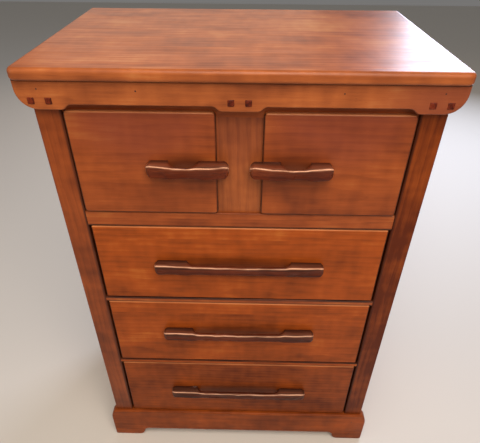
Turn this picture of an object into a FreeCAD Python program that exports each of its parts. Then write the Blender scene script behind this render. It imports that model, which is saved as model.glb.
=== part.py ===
import FreeCAD, Part
import math
import os
import re

import Sketcher
from FreeCAD import Vector

# Rustic maple chest of five drawers: two beside each other over three wide ones.
# Millimetres. X runs to the viewer's right, Y from front to back, Z up.
# The origin is under the middle of the whole chest, on the floor.

doc = FreeCAD.newDocument("chest_of_drawers")
sheet = doc.addObject("Spreadsheet::Sheet", "Sizes")

AY, AZ = Vector(0, 1, 0), Vector(0, 0, 1)
UPRIGHT = FreeCAD.Rotation()
FORWARD = FreeCAD.Rotation(Vector(1, 0, 0), 90)    # turns an upright rod to point at the viewer

# alias, value or formula, what it is
sizes = [
    # case
    ("caseWidth", "752", "over the two front posts"),
    ("caseDepth", "470", "front face of the posts to the back of the sides"),
    ("postWide", "50", "front post, seen from the front"),
    ("postThick", "22", "front post, front to back"),
    ("postEdge", "3", "softened front edges of a post"),
    ("sideThick", "20", "side panel"),
    ("backThick", "6", "back panel"),
    ("backRebate", "8", "how far the back panel sits into each side"),
    ("backLow", "100", "lower edge of the back panel above the floor"),
    ("sideFoot", "60", "front and rear foot of a side panel"),
    # top and apron
    ("topThick", "22", "top slab"),
    ("topOverSide", "18", "top beyond the posts, each side"),
    ("topOverFront", "30", "top beyond the posts, in front"),
    ("topOverBack", "6", "top beyond the sides, behind"),
    ("topCorner", "14", "corner of the top, seen from above"),
    ("topRound", "8", "upper edge of the top"),
    ("topUnderRound", "6", "lower edge of the top"),
    ("apronHigh", "54", "apron over the posts"),
    ("apronThick", "20", "apron"),
    ("apronShort", "1", "apron ends inside the ends of the top"),
    ("apronRise", "9.5", "how much the apron's lower edge steps up between the posts"),
    ("apronCurve", "21", "length of each step in that edge"),
    ("apronLap", "8", "how far the low part reaches past the post"),
    ("apronSwell", "60", "flat of the drop in the middle of the apron"),
    ("apronEar", "37", "quarter round at the apron's lower corners"),
    ("apronClear", "8", "apron above the upper fronts"),
    ("apronEdge", "2.5", "softened front edge of the apron"),
    # base board
    ("baseHigh", "130", "base board"),
    ("baseThick", "22", "base board"),
    ("baseProud", "8", "base board in front of the posts"),
    ("baseRise", "34", "arch under the base board"),
    ("baseFoot", "76", "foot at each end of the base board"),
    ("baseCurve", "35", "length of the curve up to the arch"),
    ("baseShoulder", "45", "height of the rounded shoulder at each end"),
    ("baseEdge", "4", "softened front edge of the base board"),
    ("baseToe", "7", "rounded lower corner of each foot"),
    # rails and stile
    ("thinRail", "14", "rail between two wide drawers"),
    ("railEdge", "1.5", "softened front edges of the rails"),
    ("railDeep", "60", "thin rail, front to back"),
    ("wideRail", "37", "rail under the two upper drawers"),
    ("stileShow", "88", "part of the centre stile that shows"),
    ("recess", "6", "stile and top rail behind the face of the posts"),
    # drawers
    ("frontThick", "20", "drawer front"),
    ("upperHigh", "222", "upper fronts"),
    ("secondHigh", "213.5", "front of the second row"),
    ("thirdHigh", "223", "front of the third row"),
    ("lowestHigh", "229.5", "front of the lowest row"),
    ("gapHigh", "2", "gap above and below a front"),
    ("gapSide", "4", "gap beside a wide front"),
    ("gapUpper", "2.5", "gap between an upper front and its post"),
    ("proud", "4", "upper fronts in front of the posts"),
    ("lipOver", "10", "upper front's lip over the stile"),
    ("lipTop", "12", "upper front's lip over the top rail"),
    ("upperCorner", "9", "rounded corners of the upper fronts"),
    ("wideCorner", "4", "rounded corners of the wide fronts"),
    ("frontEdge", "3.5", "softened edge round a drawer front"),
    ("boxThick", "12", "sides and back of a drawer"),
    ("boxShort", "24", "drawer sides short of the back panel"),
    ("bottomThick", "6", "drawer bottom"),
    ("groove", "6", "groove that holds the drawer bottom, deep"),
    ("grooveLow", "10", "groove above the lower edge of the sides"),
    ("headroom", "14", "drawer sides below the rail above them"),
    ("dado", "4", "housing for the drawer back, deep"),
    ("backInset", "14", "drawer back from the ends of the sides"),
    ("backDrop", "8", "drawer back below the top of the sides"),
    ("slip", "0.3", "running clearance under and beside a drawer"),
    ("fit", "0.5", "bottom panel loose in its groove"),
    ("tails", "5", "dovetails at the front of each drawer side"),
    ("tailLong", "10", "dovetail"),
    ("pinWide", "14", "pin between two tails, at its root"),
    ("tailFlare", "1.7", "how much each tail widens on each side"),
    # handles
    ("longHandle", "386", "handle of a wide drawer"),
    ("longPad", "74", "end pads of a long handle"),
    ("longDeep", "22", "long handle at its pads, front to back"),
    ("longStand", "24", "middle of a long handle in front of its drawer"),
    ("shortHandle", "161", "handle of an upper drawer"),
    ("shortPadIn", "60", "pad at the inner end of a short handle"),
    ("shortPadOut", "42", "pad at the outer end of a short handle"),
    ("shortDeep", "25", "short handle at its pads, front to back"),
    ("shortStand", "33", "middle of a short handle in front of its drawer"),
    ("handleOver", "24", "inner end of a short handle over the stile"),
    ("padHigh", "27", "handle at its end pads, high"),
    ("gripHigh", "24", "handle between its pads, high"),
    ("gripThick", "11", "handle between its pads, thick"),
    ("gripCurve", "15", "length of the hollow that runs from pad to grip"),
    ("thirdLift", "7", "handle of the third row above the middle of its front"),
    ("lowestDrop", "5", "handle of the lowest row below the middle of its front"),
    ("handleEdge", "1.5", "softened front edges of a handle"),
    ("padCorner", "8", "rounded corners of an end pad"),
    ("screwClear", "1.5", "inner screw head of a short handle clear of the drawer side"),
    ("outerScrew", "22", "outer screw of a short handle from its outer end"),
    ("screwWide", "4", "handle screw"),
    ("screwHead", "9", "head of a handle screw, across"),
    ("headHigh", "2.5", "head of a screw, high"),
    ("screwBite", "13", "screw's length in the wood that it holds"),
    ("screwFree", "0.1", "screw hole beyond the screw, all round"),
    # inside the case
    ("runnerThick", "14", "runner that carries a drawer side"),
    ("runnerReach", "14", "runner under the drawer side, beyond the guide"),
    ("guideHigh", "18", "guide that stands on a runner"),
    ("channelRib", "12", "each rib of the centre runner"),
    ("rearRail", "22", "rear rails, front to back"),
    ("topCleat", "20", "cleats under the top"),
    ("topRearHigh", "40", "rear rail under the top"),
    ("cornerBlock", "25", "blocks behind the base board"),
    ("blockShort", "5", "corner block above the floor"),
    # pegs and the screws under the top
    ("pegWide", "12", "square peg head"),
    ("pegProud", "1.5", "peg in front of the apron"),
    ("pegDeep", "7", "square part of a peg in the apron"),
    ("pegRound", "1", "worn edge of a peg"),
    ("pegShank", "8", "round part of a peg"),
    ("pegBite", "10", "peg in the post or rail behind the apron"),
    ("pegApart", "31", "two pegs of a pair, between centres"),
    ("pegUp", "16.5", "pegs above the apron's lower edge"),
    ("topScrews", "3", "screws up through each cleat"),
    ("topScrewEnd", "50", "first and last of those screws from the ends of the cleat"),
]

derived = [
    ("caseHalf", "=caseWidth / 2"),
    ("openHalf", "=caseWidth / 2 - postWide"),
    ("insideHalf", "=caseWidth / 2 - sideThick"),
    ("backHalf", "=insideHalf + backRebate"),
    ("guideWide", "=postWide - sideThick"),
    ("baseBack", "=baseThick - baseProud"),
    ("topWidth", "=caseWidth + 2 * topOverSide"),
    ("topDepth", "=caseDepth + topOverFront + topOverBack"),
    ("apronWidth", "=topWidth - 2 * apronShort"),
    ("lowestLow", "=baseHigh + gapHigh"),
    ("lowerRail", "=lowestLow + lowestHigh + gapHigh"),
    ("thirdLow", "=lowerRail + thinRail + gapHigh"),
    ("upperRail", "=thirdLow + thirdHigh + gapHigh"),
    ("secondLow", "=upperRail + thinRail + gapHigh"),
    ("wideRailLow", "=secondLow + secondHigh + gapHigh"),
    ("wideRailTop", "=wideRailLow + wideRail"),
    ("upperLow", "=wideRailTop + gapHigh"),
    ("topRailLow", "=upperLow + upperHigh - lipTop"),
    ("apronLow", "=upperLow + upperHigh + apronClear"),
    ("caseTop", "=apronLow + apronHigh"),
    ("stileHalf", "=stileShow / 2 + lipOver"),
    ("upperWide", "=openHalf - gapUpper - stileShow / 2"),
    ("boxLong", "=caseDepth - backThick - frontThick - boxShort"),
    ("shortInner", "=stileShow / 2 - handleOver"),
    ("innerScrew", "=handleOver + lipOver + gapHigh + boxThick + screwHead / 2 + screwClear"),
    ("pegPost", "=caseHalf - postWide / 2"),
    ("upperBox", "=topRailLow - wideRailTop - slip - headroom"),
    ("secondBox", "=wideRailLow - upperRail - thinRail - slip - headroom"),
    ("thirdBox", "=upperRail - lowerRail - thinRail - slip - headroom"),
    ("lowestBox", "=lowerRail - baseHigh - slip - headroom"),
    ("frontReach", "=max(topOverFront; proud + shortStand; longStand)"),
    ("frontPlane", "=-(caseDepth + topOverBack - frontReach) / 2"),
    ("rearDeep", "=caseDepth - backThick - rearRail"),
]

for number, row in enumerate(sizes + derived, 1):
    sheet.set("A%d" % number, row[0])
    sheet.set("B%d" % number, row[1])
    sheet.setAlias("B%d" % number, row[0])
    sheet.set("C%d" % number, row[2] if len(row) > 2 else "worked out from the cells above")
doc.recompute()

aliases = [row[0] for row in sizes + derived]


def size(alias):
    # the sheet's value, as a number
    return float(getattr(sheet, alias))


def rule(text):
    # an expression on the sheet: every alias in the text gets the sheet's name in front
    def named(word):
        return "Sizes." + word.group(0) if word.group(0) in aliases else word.group(0)
    return re.sub(r"[A-Za-z]\w*", named, text)


def bind(thing, rules):
    # rules: property path -> expression on the sheet
    for path, text in rules.items():
        thing.setExpression(path, rule(text))


def place(thing, x, y, z):
    # y is counted from the face of the posts
    bind(thing, {"Placement.Base.x": x, "Placement.Base.y": "frontPlane + (" + y + ")",
                 "Placement.Base.z": z})
    return thing


# ---- building blocks ----

def box(name, length, width, height, x, y, z):
    # a plain board
    piece = doc.addObject("Part::Box", name)
    bind(piece, {"Length": length, "Width": width, "Height": height})
    return place(piece, x, y, z)


def rod(name, radius, length, x, y, z, turn=FORWARD):
    # a round bar that starts at the place given
    piece = doc.addObject("Part::Cylinder", name)
    bind(piece, {"Radius": radius, "Height": length})
    piece.Placement = FreeCAD.Placement(Vector(0, 0, 0), turn)
    return place(piece, x, y, z)


def cut(name, base, tools):
    group = doc.addObject("Part::Compound", name + "_tools")
    group.Links = tools
    result = doc.addObject("Part::Cut", name)
    result.Base = base
    result.Tool = group
    return result


def compound(name, pieces):
    group = doc.addObject("Part::Compound", name)
    group.Links = pieces
    return group


def sketchOn(body, role, name):
    sketch = body.newObject("Sketcher::SketchObject", name)
    plane = [feature for feature in body.Origin.OriginFeatures if feature.Role == role][0]
    sketch.AttachmentSupport = [(plane, "")]
    sketch.MapMode = "FlatFace"
    return sketch


def rectangle(sketch, width, depth):
    # from the sketch's origin, both sides bound to the sheet
    start = [Vector(0, 0, 0), Vector(10, 0, 0), Vector(10, 10, 0), Vector(0, 10, 0)]
    for i in range(4):
        sketch.addGeometry(Part.LineSegment(start[i], start[(i + 1) % 4]), False)
    for i in range(4):
        sketch.addConstraint(Sketcher.Constraint("Coincident", i, 2, (i + 1) % 4, 1))
        sketch.addConstraint(Sketcher.Constraint("Horizontal" if i % 2 == 0 else "Vertical", i))
    sketch.addConstraint(Sketcher.Constraint("Coincident", 0, 1, -1, 1))
    for name, kind, line, text in (("width", "DistanceX", 0, width), ("depth", "DistanceY", 1, depth)):
        index = sketch.addConstraint(Sketcher.Constraint(kind, line, 1, line, 2, 10))
        sketch.renameConstraint(index, name)
        sketch.setExpression("Constraints." + name, rule(text))


def pad(body, sketch, length):
    feature = body.newObject("PartDesign::Pad", body.Name + "_pad")
    feature.Profile = sketch
    bind(feature, {"Length": length})
    doc.recompute()
    return feature


def soften(body, feature, radius, chosen):
    # rounds the edges that the test chooses, given an edge and the body's bounds
    bounds = feature.Shape.BoundBox
    names = ["Edge%d" % (i + 1) for i, edge in enumerate(feature.Shape.Edges) if chosen(edge, bounds)]
    fillet = body.newObject("PartDesign::Fillet", body.Name + "_" + radius)
    fillet.Base = (feature, names)
    bind(fillet, {"Radius": radius})
    doc.recompute()
    return fillet


def plank(name, length, width, height, x, y, z, rounds=()):
    # a board drawn from above and padded up, with rounds as (size, test) pairs
    body = doc.addObject("PartDesign::Body", name)
    sketch = sketchOn(body, "XY_Plane", name + "_plan")
    rectangle(sketch, length, width)
    feature = pad(body, sketch, height)
    for radius, chosen in rounds:
        feature = soften(body, feature, radius, chosen)
    return place(body, x, y, z)


def profile(name, role, wire, thickness, x, y, z, rounds=()):
    # a board drawn in outline and padded through its thickness
    body = doc.addObject("PartDesign::Body", name)
    sketch = sketchOn(body, role, name + "_outline")
    for edge in wire:
        sketch.addGeometry(edge, False)
    feature = pad(body, sketch, thickness)
    for radius, chosen in rounds:
        feature = soften(body, feature, radius, chosen)
    return place(body, x, y, z)


# ---- tests for edges ----

def middleOf(edge):
    return edge.valueAt((edge.FirstParameter + edge.LastParameter) / 2)


def within(edge, axis, limit):
    # the whole edge lies at this height along the axis
    points = [vertex.Point for vertex in edge.Vertexes] + [middleOf(edge)]
    return all(abs(point.dot(axis) - limit) < 1e-4 for point in points)


def onFront(edge, bounds):
    return within(edge, AY, bounds.YMin)


def onTop(edge, bounds):
    return within(edge, AZ, bounds.ZMax)


def onUnderside(edge, bounds):
    return within(edge, AZ, bounds.ZMin)


def frontCorner(edge, bounds):
    # upright edge at one of the two front corners
    run = edge.Vertexes[-1].Point - edge.Vertexes[0].Point
    return abs(abs(run.z) - run.Length) < 1e-6 and abs(middleOf(edge).y - bounds.YMin) < 1e-4


def longFront(edge, bounds):
    # the two long edges of a rail's front face
    run = edge.Vertexes[-1].Point - edge.Vertexes[0].Point
    return onFront(edge, bounds) and abs(abs(run.x) - run.Length) < 1e-6


def lowerFront(edge, bounds):
    # the shaped edge of the apron's front face, without its straight top
    return onFront(edge, bounds) and not within(edge, AZ, bounds.ZMax)


def throughCorner(edge, bounds):
    # corner of a front, running from front to back
    run = edge.Vertexes[-1].Point - edge.Vertexes[0].Point
    return run.Length > 1e-6 and abs(abs(run.y) - run.Length) < 1e-6


# ---- outlines: lists of lines and arcs in the plane of a sketch ----

def line(p, q):
    return Part.LineSegment(Vector(*p, 0), Vector(*q, 0))


def path(points):
    return [line(p, q) for p, q in zip(points, points[1:])]


def bow(p, q, height):
    # arc from p to q that stands off the chord to the left by this height
    chord = Vector(*q, 0) - Vector(*p, 0)
    across = Vector(-chord.y, chord.x, 0).normalize()
    middle = Vector(*p, 0) + chord * 0.5 + across * height
    return Part.Arc(Vector(*p, 0), middle, Vector(*q, 0))


def quarter(p, q, first):
    # quarter round from p to q that leaves p along "x" or "y"
    centre = Vector(p[0], q[1], 0) if first == "x" else Vector(q[0], p[1], 0)
    half = (Vector(*p, 0) - centre + Vector(*q, 0) - centre).normalize() * abs(p[0] - q[0])
    return Part.Arc(Vector(*p, 0), centre + half, Vector(*q, 0))


def shoulder(p, q):
    # quarter of an upright ellipse, upright at the lower end and level at the upper end
    foot, head = (p, q) if p[1] < q[1] else (q, p)
    centre = Vector(head[0], foot[1], 0)
    whole = Part.Ellipse(Vector(*head, 0), centre - Vector(abs(foot[0] - head[0]), 0, 0), centre)
    if foot[0] < head[0]:
        return Part.ArcOfEllipse(whole, 0, math.pi / 2)
    return Part.ArcOfEllipse(whole, 3 * math.pi / 2, 2 * math.pi)


def ogee(p, q):
    # two equal arcs that leave p and reach q level
    dx, dy = q[0] - p[0], q[1] - p[1]
    radius = (dx * dx + dy * dy) / (4 * abs(dy))
    angle = math.asin(abs(dx) / 2 / radius) / 2
    stepX = math.copysign(radius * math.sin(angle), dx)
    stepY = math.copysign(radius * (1 - math.cos(angle)), dy)
    middle = (p[0] + dx / 2, p[1] + dy / 2)
    return [Part.Arc(Vector(*p, 0), Vector(p[0] + stepX, p[1] + stepY, 0), Vector(*middle, 0)),
            Part.Arc(Vector(*middle, 0), Vector(q[0] - stepX, q[1] - stepY, 0), Vector(*q, 0))]


def mirrored(points):
    return [(-x, y) for x, y in reversed(points)]


def closed(edges):
    # the flat face inside a closed outline
    shapes = [edge.toShape() for edge in edges]
    return Part.Face(Part.Wire(Part.__sortEdges__(shapes)))


# ---- case ----

def topScrewPlaces():
    # x, y of the screws up through the two cleats
    places = []
    steps = int(size("topScrews")) - 1
    run = "(rearDeep - postThick - 2 * topScrewEnd)"
    for sign in ("-", ""):
        for step in range(steps + 1):
            along = "postThick + topScrewEnd + %d * %s / %d" % (step, run, steps)
            places.append((sign + "(insideHalf - topCleat / 2)", along))
    return places


def makeTop():
    slab = plank("top_slab", "topWidth", "topDepth", "topThick", "-topWidth / 2", "-topOverFront", "caseTop",
                 (("topCorner", frontCorner), ("topRound", onTop), ("topUnderRound", onUnderside)))
    holes, screws = [], []
    for number, (x, y) in enumerate(topScrewPlaces()):
        tag = "top_screw_%d" % number
        low = "caseTop - topCleat"
        holes.append(rod(tag + "_hole", "screwWide / 2 + screwFree", "topCleat + screwBite", x, y, low,
                         UPRIGHT))
        screw = doc.addObject("Part::Fuse", tag)
        screw.Base = rod(tag + "_shank", "screwWide / 2", "topCleat + screwBite", x, y, low, UPRIGHT)
        screw.Tool = rod(tag + "_head", "screwHead / 2", "headHigh", x, y, low + " - headHigh", UPRIGHT)
        screws.append(screw)
    cut("top_panel", slab, holes)
    compound("top_screws", screws)
    for side, x in (("left", "-insideHalf"), ("right", "insideHalf - topCleat")):
        cleat = box(side + "_cleat_blank", "topCleat", "rearDeep - postThick", "topCleat",
                    x, "postThick", "caseTop - topCleat")
        cut(side + "_top_cleat", cleat, holes)
    box("top_rear_rail", "2 * insideHalf", "rearRail", "topRearHigh", "-insideHalf", "rearDeep",
        "caseTop - topRearHigh")


def apronOutline():
    # ears at the ends, low over the posts and in the middle, a step higher between
    half, high, ear = size("apronWidth") / 2, size("apronHigh"), size("apronEar")
    rise, curve, swell = size("apronRise"), size("apronCurve"), size("apronSwell") / 2
    low = size("openHalf") - size("apronLap")
    edges = [quarter((half, ear), (half - ear, 0), "y"), line((half - ear, 0), (low, 0))]
    edges += ogee((low, 0), (low - curve, rise)) + [line((low - curve, rise), (swell + curve, rise))]
    edges += ogee((swell + curve, rise), (swell, 0)) + [line((swell, 0), (-swell, 0))]
    edges += ogee((-swell, 0), (-swell - curve, rise)) + [line((-swell - curve, rise), (curve - low, rise))]
    edges += ogee((curve - low, rise), (-low, 0)) + [line((-low, 0), (ear - half, 0))]
    edges += [quarter((ear - half, 0), (-half, ear), "x")]
    return edges + path([(-half, ear), (-half, high), (half, high), (half, ear)])


def pegHoles(name, places):
    # the round part of the pegs that go into a board behind the apron
    return [rod("%s_hole_%d" % (name, i), "pegShank / 2", "apronThick + pegBite", x, "pegBite",
                "apronLow + pegUp") for i, x in enumerate(places)]


postPegs = ["pegPost - pegApart / 2", "pegPost + pegApart / 2"]
middlePegs = ["-pegApart / 2", "pegApart / 2"]


def makeApron():
    board = profile("apron_board", "XZ_Plane", apronOutline(), "apronThick", "0", "0", "apronLow",
                    (("apronEdge", lowerFront),))
    places = ["-(" + x + ")" for x in postPegs] + postPegs + middlePegs
    low = "apronLow + pegUp - pegWide / 2"
    holes, pegs = pegHoles("apron", places), []
    for number, x in enumerate(places):
        tag = "peg_%d" % number
        edge = x + " - pegWide / 2"
        holes.append(box(tag + "_mortise", "pegWide", "pegDeep", "pegWide", edge, "-apronThick", low))
        peg = doc.addObject("Part::Fuse", tag)
        peg.Base = plank(tag + "_head", "pegWide", "pegDeep + pegProud", "pegWide", edge,
                         "-apronThick - pegProud", low, (("pegRound", onFront),))
        peg.Tool = rod(tag + "_shank", "pegShank / 2", "apronThick - pegDeep + pegBite", x, "pegBite",
                       "apronLow + pegUp")
        pegs.append(peg)
    cut("front_apron", board, holes)
    compound("apron_pegs", pegs)


def makePosts():
    for side, x, sign in (("left", "-caseHalf", "-"), ("right", "openHalf", "")):
        post = plank(side + "_post_blank", "postWide", "postThick", "caseTop - baseHigh", x, "0", "baseHigh",
                     (("postEdge", frontCorner),))
        places = [sign + "(" + peg + ")" for peg in postPegs]
        cut(side + "_front_post", post, pegHoles(side + "_post", places))


def makeFrontRails():
    rail = plank("top_rail_blank", "2 * openHalf", "postThick - recess", "caseTop - topRailLow", "-openHalf",
                 "recess", "topRailLow")
    cut("top_front_rail", rail, pegHoles("top_rail", middlePegs))
    plank("center_stile", "2 * stileHalf", "postThick - recess", "topRailLow - wideRailTop", "-stileHalf",
          "recess", "wideRailTop")
    plank("wide_rail", "2 * openHalf", "postThick", "wideRail", "-openHalf", "0", "wideRailLow",
          (("railEdge", longFront),))
    for name, low in (("upper_thin_rail", "upperRail"), ("lower_thin_rail", "lowerRail")):
        plank(name, "2 * openHalf", "railDeep", "thinRail", "-openHalf", "0", low, (("railEdge", longFront),))


def baseOutline():
    # rounded shoulders at the ends, a foot at each end and a low arch between
    half, high = size("topWidth") / 2, size("baseHigh")
    drop, toe = size("baseShoulder"), size("baseToe")
    foot, curve, rise = size("baseFoot"), size("baseCurve"), size("baseRise")
    over = size("topOverSide")
    edges = [shoulder((half, high - drop), (half - over, high)),
             line((half - over, high), (over - half, high)),
             shoulder((over - half, high), (-half, high - drop))]
    edges += [line((-half, high - drop), (-half, toe)), quarter((-half, toe), (toe - half, 0), "y")]
    edges += [line((toe - half, 0), (foot - half, 0))]
    edges += ogee((foot - half, 0), (foot + curve - half, rise))
    edges += [line((foot + curve - half, rise), (half - foot - curve, rise))]
    edges += ogee((half - foot - curve, rise), (half - foot, 0))
    edges += [line((half - foot, 0), (half - toe, 0)), quarter((half - toe, 0), (half, toe), "x")]
    return edges + [line((half, toe), (half, high - drop))]


def makeBase():
    profile("base_board", "XZ_Plane", baseOutline(), "baseThick", "0", "baseBack", "0",
            (("baseEdge", onFront),))
    box("bottom_rail", "2 * insideHalf", "railDeep - baseBack", "runnerThick", "-insideHalf", "baseBack",
        "baseHigh - runnerThick")
    blocks = [box("corner_block_" + side, "cornerBlock", "cornerBlock", "baseHigh - runnerThick - blockShort",
                  x, "baseBack", "blockShort")
              for side, x in (("left", "-insideHalf"), ("right", "insideHalf - cornerBlock"))]
    compound("base_corner_blocks", blocks)


def sideOutline():
    # seen from the right: notched over the base board, arched between its feet
    front, back, top = size("baseBack"), size("caseDepth"), size("caseTop")
    foot, curve, rise = size("sideFoot"), size("baseCurve"), size("baseRise")
    edges = [line((front, 0), (front + foot, 0))]
    edges += ogee((front + foot, 0), (front + foot + curve, rise))
    edges += [line((front + foot + curve, rise), (back - foot - curve, rise))]
    edges += ogee((back - foot - curve, rise), (back - foot, 0))
    post, base = size("postThick"), size("baseHigh")
    return edges + path([(back - foot, 0), (back, 0), (back, top), (post, top), (post, base),
                         (front, base), (front, 0)])


def makeSides():
    rebateY = "caseDepth - backThick"
    for side, x, rebate in (("left", "-caseHalf", "-backHalf"), ("right", "insideHalf", "insideHalf")):
        board = profile(side + "_side_blank", "YZ_Plane", sideOutline(), "sideThick", x, "0", "0")
        groove = box(side + "_rebate", "backRebate", "backThick", "caseTop - backLow", rebate, rebateY,
                     "backLow")
        cut(side + "_side_panel", board, [groove])
    plank("back_panel", "2 * backHalf", "backThick", "caseTop - backLow", "-backHalf", rebateY, "backLow")


# the rows of drawers: top of the runners, where the runners start
levels = [
    ("upper", "wideRailTop", "postThick"),
    ("second", "upperRail + thinRail", "railDeep"),
    ("third", "lowerRail + thinRail", "railDeep"),
    ("lowest", "baseHigh", "railDeep"),
]


def makeRunners():
    # side runners are L shaped: a guide beside the drawer and a ledge under it
    guide, reach = size("guideWide"), size("runnerReach")
    thick, high = size("runnerThick"), size("guideHigh")
    section = [(0, -thick), (guide + reach, -thick), (guide + reach, 0), (guide, 0), (guide, high), (0, high),
               (0, -thick)]
    rears = []
    strips = {"left": [], "right": []}
    for name, top, start in levels:
        for side, turn in (("left", 1), ("right", -1)):
            wire = path([(turn * x, z) for x, z in section])
            x = "-insideHalf" if side == "left" else "insideHalf"
            strips[side].append(profile("%s_%s_runner" % (name, side), "XZ_Plane", wire,
                                        "rearDeep - " + start, x, "rearDeep", top))
        rears.append(box(name + "_rear_rail", "2 * insideHalf", "rearRail", "runnerThick", "-insideHalf",
                         "rearDeep", top + " - runnerThick"))
    compound("left_runners", strips["left"])
    compound("right_runners", strips["right"])
    compound("rear_rails", rears)
    # the centre runner is a channel between the two upper drawers
    edge, rib = size("stileHalf"), size("channelRib")
    half = [(0, -thick), (edge + reach, -thick), (edge + reach, 0), (edge, 0), (edge, high),
            (edge - rib, high), (edge - rib, 0)]
    wire = path(half + mirrored(half[1:]) + [half[0]])
    profile("center_runner", "XZ_Plane", wire, "rearDeep - postThick", "0", "rearDeep", "wideRailTop")


# ---- drawers ----

def tailOutline(high):
    # drawer side seen from the right: dovetails at the front end, y = 0 at the back of the front
    long, tail = size("boxLong"), size("tailLong")
    pin, flare, count = size("pinWide"), size("tailFlare"), int(size("tails"))
    pitch = high / count
    points = [(0, 0), (long, 0), (long, high), (0, high)]
    for number in reversed(range(count)):
        upper, lower = (number + 1) * pitch - pin / 2, number * pitch + pin / 2
        points += [(0, upper), (-tail, upper + flare), (-tail, lower - flare), (0, lower)]
    return path(points + [points[0]])


def isArris(edge, depth):
    # an edge of a handle's outer face that runs along the handle, this far out or more
    run = edge.Vertexes[-1].Point - edge.Vertexes[0].Point
    return middleOf(edge).y < -depth and abs(run.x) > abs(run.y) + abs(run.z)


def handleBlank(name, sizes, x, y, z):
    # a bar with a pad at each end, hollowed behind for the fingers and bowed out in the middle
    length, padLeft, padRight, deep, reach = [size(alias) for alias in sizes]
    half, corner, curve, thick = length / 2, size("padCorner"), size("gripCurve"), size("gripThick")
    tall, slim = size("padHigh") / 2, size("gripHigh") / 2
    left, right = padLeft - half, half - padRight

    def backAt(at):
        # back of the grip, which follows the bow of the front
        return thick - deep - (reach - deep) * (1 - (at / half) ** 2)

    hollowLeft, hollowRight = (left + curve, backAt(left + curve)), (right - curve, backAt(right - curve))
    middle = (hollowLeft[0] + hollowRight[0]) / 2
    sag = backAt(middle) - (hollowLeft[1] + hollowRight[1]) / 2
    plan = [line((-half, 0), (-half, corner - deep)),
            quarter((-half, corner - deep), (corner - half, -deep), "y"),
            bow((corner - half, -deep), (half - corner, -deep), deep - reach),
            quarter((half - corner, -deep), (half, corner - deep), "x"),
            line((half, corner - deep), (half, 0)),
            line((half, 0), (right, 0)), bow((right, 0), hollowRight, hollowRight[1] / 4),
            bow(hollowRight, hollowLeft, -sag), bow(hollowLeft, (left, 0), hollowLeft[1] / 4),
            line((left, 0), (-half, 0))]

    def edgeAt(sign):
        # the upper or lower edge, seen from the front
        high, low = sign * tall, sign * slim
        bend = sign * (tall - corner)
        run = [quarter((-half, bend), (corner - half, high), "y"), line((corner - half, high), (left, high))]
        run += ogee((left, high), (left + curve, low)) + [line((left + curve, low), (right - curve, low))]
        run += ogee((right - curve, low), (right, high)) + [line((right, high), (half - corner, high))]
        return run + [quarter((half - corner, high), (half, bend), "x")]

    ends = [line((at, corner - tall), (at, tall - corner)) for at in (-half, half)]
    front = closed(edgeAt(1) + edgeAt(-1) + ends)
    front.rotate(Vector(0, 0, 0), Vector(1, 0, 0), 90)
    shape = closed(plan).extrude(Vector(0, 0, 2 * tall))
    shape.translate(Vector(0, 0, -tall))
    shape = shape.common(front.extrude(Vector(0, -2 * reach, 0)))
    shape = shape.makeFillet(size("handleEdge"), [edge for edge in shape.Edges if isArris(edge, deep)])
    piece = doc.addObject("Part::Feature", name)
    piece.Shape = shape
    return place(piece, x, y, z)


def drawer(name, left, right, low, high, face, boxLeft, boxRight, boxLow, boxHigh, handle, corner, lips):
    # one drawer: every place is an expression on the sheet, boxHigh is an alias
    inner = "(" + face + " + frontThick)"
    board = plank(name + "_board", right + " - (" + left + ")", "frontThick", high, left, face, low,
                  ((corner, throughCorner), ("frontEdge", onFront)))
    outline = tailOutline(size(boxHigh))
    wall = "boxThick - dado"
    floor = "grooveLow + bottomThick"
    backHigh = boxHigh + " - backDrop - grooveLow - bottomThick"
    blanks = []
    for side, x, cutX, dadoX in (
            ("left", boxLeft, boxLeft + " + boxThick - groove", boxLeft + " + " + wall),
            ("right", boxRight + " - boxThick", boxRight + " - boxThick", boxRight + " - boxThick")):
        tag = name + "_" + side
        blank = profile(tag + "_blank", "YZ_Plane", outline, "boxThick", x, inner, boxLow)
        groove = box(tag + "_groove", "groove", "boxLong + tailLong", "bottomThick", cutX,
                     inner + " - tailLong", boxLow + " + grooveLow")
        housing = box(tag + "_dado", "dado", "boxThick", backHigh, dadoX,
                      inner + " + boxLong - backInset - boxThick", boxLow + " + " + floor)
        cut(tag + "_side", blank, [groove, housing])
        blanks.append(blank)
    holes, screws = [], []
    shape, handleX, handleZ, screwPlaces = handle
    for number, x in enumerate(screwPlaces):
        tag = "%s_screw_%d" % (name, number)
        reach = "frontThick + screwBite"
        holes.append(rod(tag + "_hole", "screwWide / 2 + screwFree", reach, x, inner, handleZ))
        screw = doc.addObject("Part::Fuse", tag)
        screw.Base = rod(tag + "_shank", "screwWide / 2", reach, x, inner, handleZ)
        screw.Tool = rod(tag + "_head", "screwHead / 2", "headHigh", x, inner + " + headHigh", handleZ)
        screws.append(screw)
    compound(name + "_handle_screws", screws)
    grip = handleBlank(name + "_handle_blank", shape, handleX, face, handleZ)
    cut(name + "_handle", grip, holes)
    grooveFront = box(name + "_front_groove", boxRight + " - (" + boxLeft + ") - 2 * (boxThick - groove)",
                      "groove", "bottomThick", boxLeft + " + boxThick - groove", inner + " - groove",
                      boxLow + " + grooveLow")
    cut(name + "_front", board, blanks + holes + [grooveFront] + lips)
    box(name + "_back", boxRight + " - (" + boxLeft + ") - 2 * (" + wall + ")", "boxThick", backHigh,
        boxLeft + " + " + wall, inner + " + boxLong - backInset - boxThick", boxLow + " + " + floor)
    box(name + "_bottom", boxRight + " - (" + boxLeft + ") - 2 * (boxThick - groove + fit)",
        "boxLong + groove - 2 * fit", "bottomThick", boxLeft + " + boxThick - groove + fit",
        inner + " - groove + fit", boxLow + " + grooveLow")


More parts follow.
